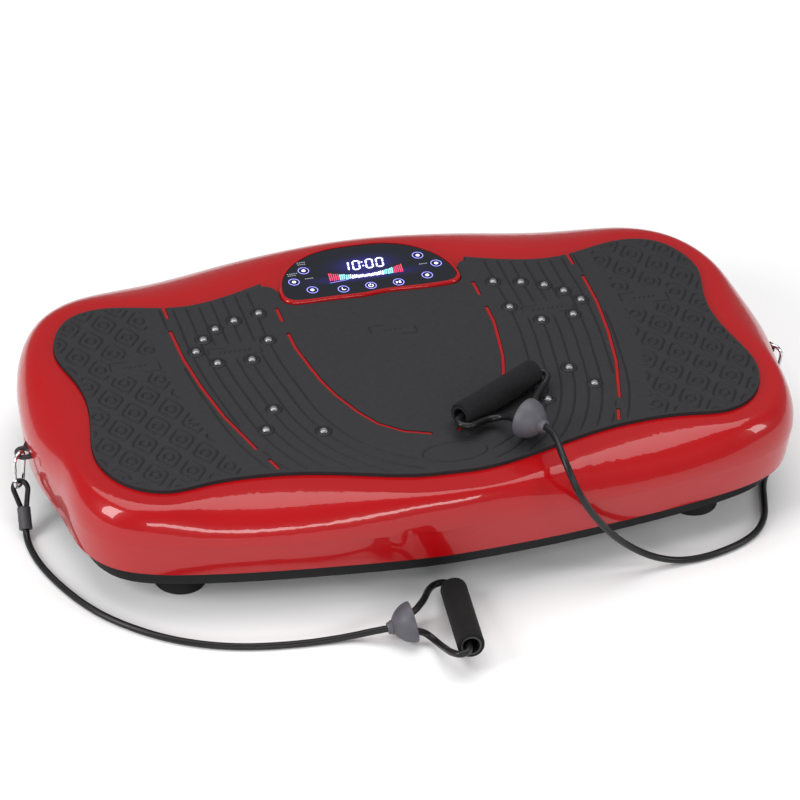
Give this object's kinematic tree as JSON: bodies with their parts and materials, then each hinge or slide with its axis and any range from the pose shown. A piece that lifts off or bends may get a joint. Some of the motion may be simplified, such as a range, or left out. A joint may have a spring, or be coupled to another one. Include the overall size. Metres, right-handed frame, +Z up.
{
  "type": "vibration plate",
  "caption": "Rocking vibration plate: a red two-part housing with a rubber foot mat and touch panel, on suction feet, with a resistance band and foam grip hooked to each end.",
  "frame": {"origin": "on the floor below the middle of the housing", "axes": "+X along the long side towards the end that is on the right for someone who faces the panel, +Y from the front edge to the panel edge, +Z up"},
  "size_m": [0.7348, 0.5331, 0.1522],
  "materials": {
    "shell_red": "gloss red ABS",
    "mat_rubber": "moulded charcoal rubber with a fine lattice",
    "stud_steel": "polished dome",
    "panel_glass": "black printed glass",
    "base_black": "fine-textured black",
    "foot_rubber": "soft black rubber",
    "screw_steel": "zinc plated",
    "shaft_steel": "ground steel",
    "bracket_steel": "black powder coat",
    "bearing_steel": "hardened steel",
    "pulley_alloy": "turned",
    "cast_block": "die cast",
    "motor_shell": "black paint",
    "belt_rubber": "ribbed rubber",
    "bush_bronze": "sintered bronze",
    "board_green": "printed circuit",
    "nylon": "natural nylon",
    "socket_black": "black polycarbonate",
    "tab_black": "glass-filled nylon",
    "hook_chrome": "plated spring wire",
    "band_rubber": "latex tube",
    "stopper_rubber": "dark grey rubber",
    "foam": "closed-cell foam",
    "sleeve_black": "shrunk sleeve"
  },
  "bodies": {
    "base": {"base_tray": "base_black", "suction_feet": "foot_rubber", "foot_screws": "screw_steel", "bearing_blocks": "cast_block", "shaft_bearings": "bearing_steel", "motor_can": "motor_shell", "motor_bracket": "bracket_steel", "drive_belt": "belt_rubber", "pivot_bracket_front": "bracket_steel", "pivot_bracket_rear": "bracket_steel", "pivot_pins": "shaft_steel", "control_board": "board_green", "board_standoffs": "nylon"},
    "crank": {"crankshaft": "shaft_steel", "crank_pulley": "pulley_alloy", "eccentric_left": "shaft_steel", "eccentric_right": "shaft_steel"},
    "motor_rotor": {"motor_shaft": "shaft_steel", "motor_pulley": "pulley_alloy"},
    "rod_left": {"connecting_rod_left": "cast_block"},
    "rod_right": {"connecting_rod_right": "cast_block"},
    "deck": {"top_shell": "shell_red", "lower_shell": "shell_red", "shell_screws": "screw_steel", "pivot_bushes": "bush_bronze", "deck_plate": "bracket_steel", "rod_pins": "shaft_steel", "deck_screws": "screw_steel", "foot_mat": "mat_rubber", "massage_studs": "stud_steel", "panel_glass": "panel_glass", "display_board": "board_green", "mains_inlet": "socket_black", "switch_housing": "socket_black", "anchor_tab_left": "tab_black", "snap_hook_left": "hook_chrome", "band_eye_left": "band_rubber", "band_sleeve_left": "sleeve_black", "band_tube_left": "band_rubber", "band_stopper_left": "stopper_rubber", "band_strap_left": "band_rubber", "anchor_tab_right": "tab_black", "snap_hook_right": "hook_chrome", "band_eye_right": "band_rubber", "band_sleeve_right": "sleeve_black", "band_tube_right": "band_rubber", "band_stopper_right": "stopper_rubber", "band_strap_right": "band_rubber"},
    "switch": {"power_rocker": "socket_black"},
    "gate_left": {"hook_gate_left": "hook_chrome"},
    "grip_left": {"grip_foam_left": "foam", "grip_core_left": "tab_black"},
    "gate_right": {"hook_gate_right": "hook_chrome"},
    "grip_right": {"grip_foam_right": "foam", "grip_core_right": "tab_black"}
  },
  "joints": [
    {"name": "deck_rock", "type": "hinge", "parent": "base", "child": "deck", "pos_m": [0, 0, 0.08], "axis": [0, 1, 0], "range_deg": [-1.15, 1.15]},
    {"name": "crank_spin", "type": "hinge", "parent": "base", "child": "crank", "pos_m": [0, 0, 0.058], "axis": [1, 0, 0], "continuous": true},
    {"name": "motor_spin", "type": "hinge", "parent": "base", "child": "motor_rotor", "pos_m": [0, 0.088, 0.058], "axis": [1, 0, 0], "continuous": true},
    {"name": "rod_left_swing", "type": "hinge", "parent": "crank", "child": "rod_left", "pos_m": [-0.065, -0.0013, 0.058], "axis": [1, 0, 0], "continuous": true},
    {"name": "rod_right_swing", "type": "hinge", "parent": "crank", "child": "rod_right", "pos_m": [0.065, 0.0013, 0.058], "axis": [1, 0, 0], "continuous": true},
    {"name": "rocker_tilt", "type": "hinge", "parent": "deck", "child": "switch", "pos_m": [0.168, 0.19093, 0.062], "axis": [1, 0, 0], "range_deg": [-13, 0]},
    {"name": "gate_left_swing", "type": "hinge", "parent": "deck", "child": "gate_left", "pos_m": [-0.36411, -0.01761, 0.04631], "axis": [-0.7071, 0.7071, 0], "range_deg": [0, 25], "stiffness_Nm_per_rad": 0.02, "springref_deg": -17.19},
    {"name": "grip_left_spin", "type": "hinge", "parent": "deck", "child": "grip_left", "pos_m": [-0.0225, -0.26195, 0.02], "axis": [-0.1513, -0.9758, 0.1577], "continuous": true},
    {"name": "gate_right_swing", "type": "hinge", "parent": "deck", "child": "gate_right", "pos_m": [0.36411, -0.01761, 0.04631], "axis": [-0.7071, -0.7071, 0], "range_deg": [0, 25], "stiffness_Nm_per_rad": 0.02, "springref_deg": -17.19},
    {"name": "grip_right_spin", "type": "hinge", "parent": "deck", "child": "grip_right", "pos_m": [0.05675, -0.09475, 0.1274], "axis": [0.8665, 0.4992, 0], "continuous": true}
  ],
  "couplings": [
    {"joint": "motor_spin", "follows": "crank_spin", "ratio": 2.4},
    {"joint": "rod_left_swing", "follows": "crank_spin", "ratio": -1},
    {"joint": "rod_right_swing", "follows": "crank_spin", "ratio": -1}
  ]
}
